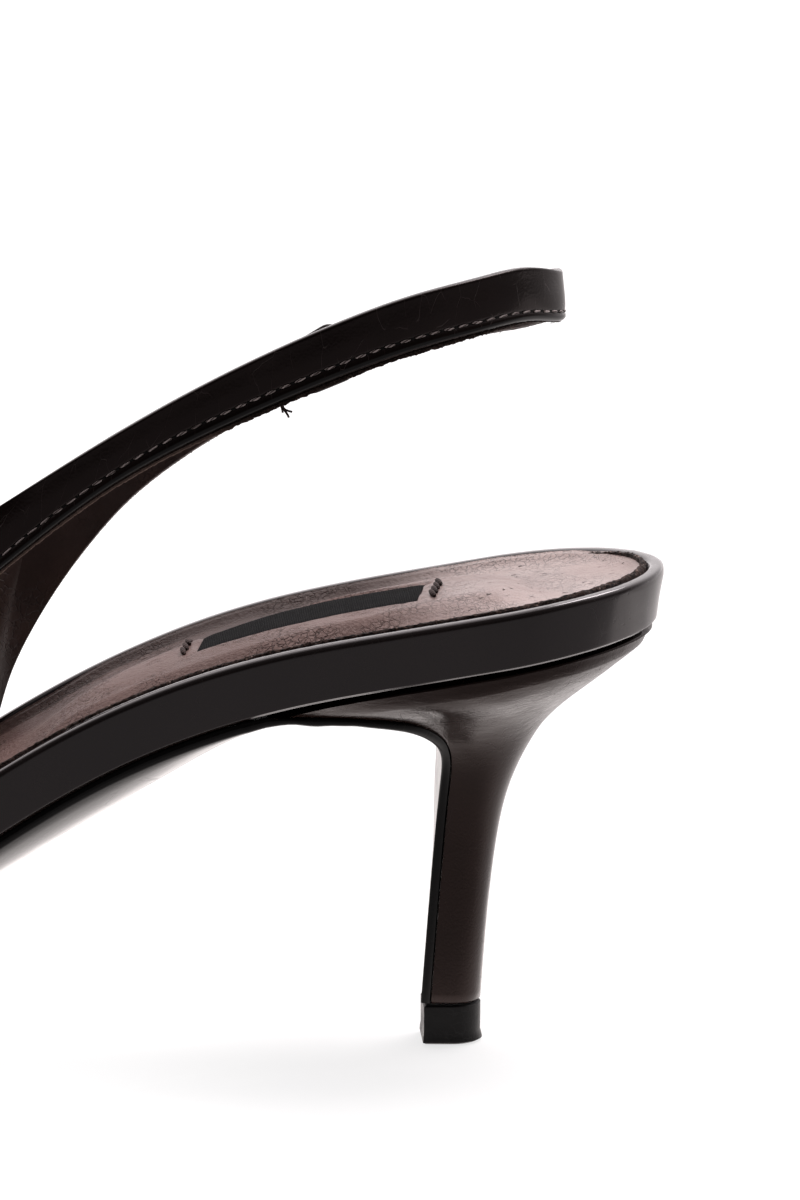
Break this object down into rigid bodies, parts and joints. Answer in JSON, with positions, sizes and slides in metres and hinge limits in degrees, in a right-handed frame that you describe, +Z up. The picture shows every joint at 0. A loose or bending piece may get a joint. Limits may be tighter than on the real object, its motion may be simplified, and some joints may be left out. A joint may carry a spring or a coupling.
{
  "type": "slingback shoe",
  "caption": "Right slingback shoe with a closed almond toe, buckled heel strap, padded insole, leather-wrapped sole edge and a slim leather-covered heel on a rubber tip.",
  "frame": {"origin": "middle of the shoe's box, on the floor plane under it", "axes": "+X towards the toe, +Y towards the inner side of the foot, +Z up"},
  "size_m": [0.246, 0.0756, 0.1203],
  "materials": {
    "upper_leather": "polished near-black brown, fine cross creases",
    "rand_leather": "polished near-black brown, rolled bead",
    "insole_leather": "matte mid-brown, fine wrinkled grain",
    "outsole_leather": "black, glossy",
    "heel_leather": "dark brown, semi-gloss, stretched grain",
    "top_piece_rubber": "matte black",
    "buckle_metal": "dark, satin"
  },
  "bodies": {
    "root": {"upper": "upper_leather", "strap_tail": "upper_leather", "wrapped_midsole": "rand_leather", "insole": "insole_leather", "outsole": "outsole_leather", "heel": "heel_leather", "heel_top_piece": "top_piece_rubber", "buckle_frame": "buckle_metal", "buckle_prong": "buckle_metal"}
  },
  "joints": []
}
